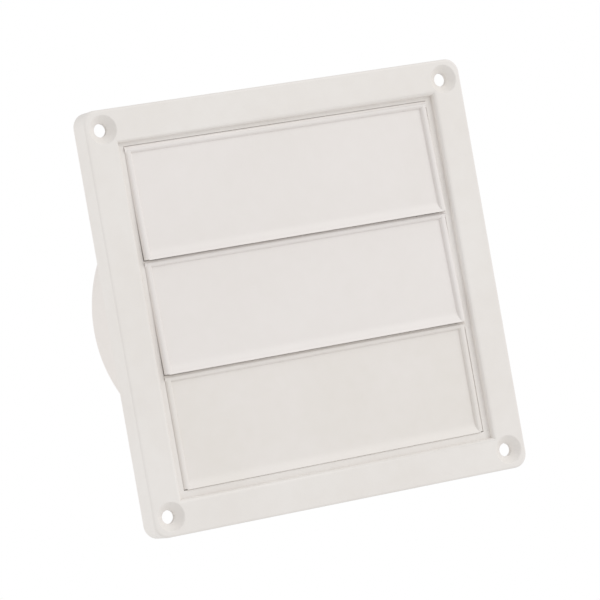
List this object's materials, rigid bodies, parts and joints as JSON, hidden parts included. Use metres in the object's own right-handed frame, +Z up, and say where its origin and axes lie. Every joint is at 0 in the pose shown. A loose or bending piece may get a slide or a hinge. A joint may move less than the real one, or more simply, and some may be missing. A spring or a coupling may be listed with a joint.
{
  "type": "louvred duct vent cover",
  "caption": "Square white wall cover for a round exhaust duct: hollow-backed face frame with corner fixings, hinged gravity louvres and a rear collar for the duct.",
  "frame": {"origin": "on the duct axis, in the plane of the wall that the rim of the frame sits on", "axes": "+Y along the duct into the wall, +Z up with the louvre hinges at their tops, +X to the right seen from outdoors"},
  "size_m": [0.146, 0.0728, 0.146],
  "materials": {
    "frame_plastic": "satin moulded, warm white",
    "louver_plastic": "satin moulded, warm white",
    "rod_acetal": "white acetal rod",
    "screw_steel": "bright zinc plate"
  },
  "bodies": {
    "housing": {"face_frame": "frame_plastic", "duct_collar": "frame_plastic", "hinge_rod_top": "rod_acetal", "hinge_rod_middle": "rod_acetal", "hinge_rod_bottom": "rod_acetal", "plate_screw_1": "screw_steel", "plate_screw_2": "screw_steel", "plate_screw_3": "screw_steel", "plate_screw_4": "screw_steel"},
    "upper_flap": {"louver_top": "louver_plastic"},
    "middle_flap": {"louver_middle": "louver_plastic"},
    "lower_flap": {"louver_bottom": "louver_plastic"}
  },
  "joints": [
    {"name": "upper_hinge", "type": "hinge", "parent": "housing", "child": "upper_flap", "pos_m": [0, -0.0057, 0.0584], "axis": [-1, 0, 0], "range_deg": [-2.2, 78]},
    {"name": "middle_hinge", "type": "hinge", "parent": "housing", "child": "middle_flap", "pos_m": [0, -0.0057, 0.0191], "axis": [-1, 0, 0], "range_deg": [-2.2, 78]},
    {"name": "lower_hinge", "type": "hinge", "parent": "housing", "child": "lower_flap", "pos_m": [0, -0.0057, -0.0202], "axis": [-1, 0, 0], "range_deg": [0, 80]}
  ]
}
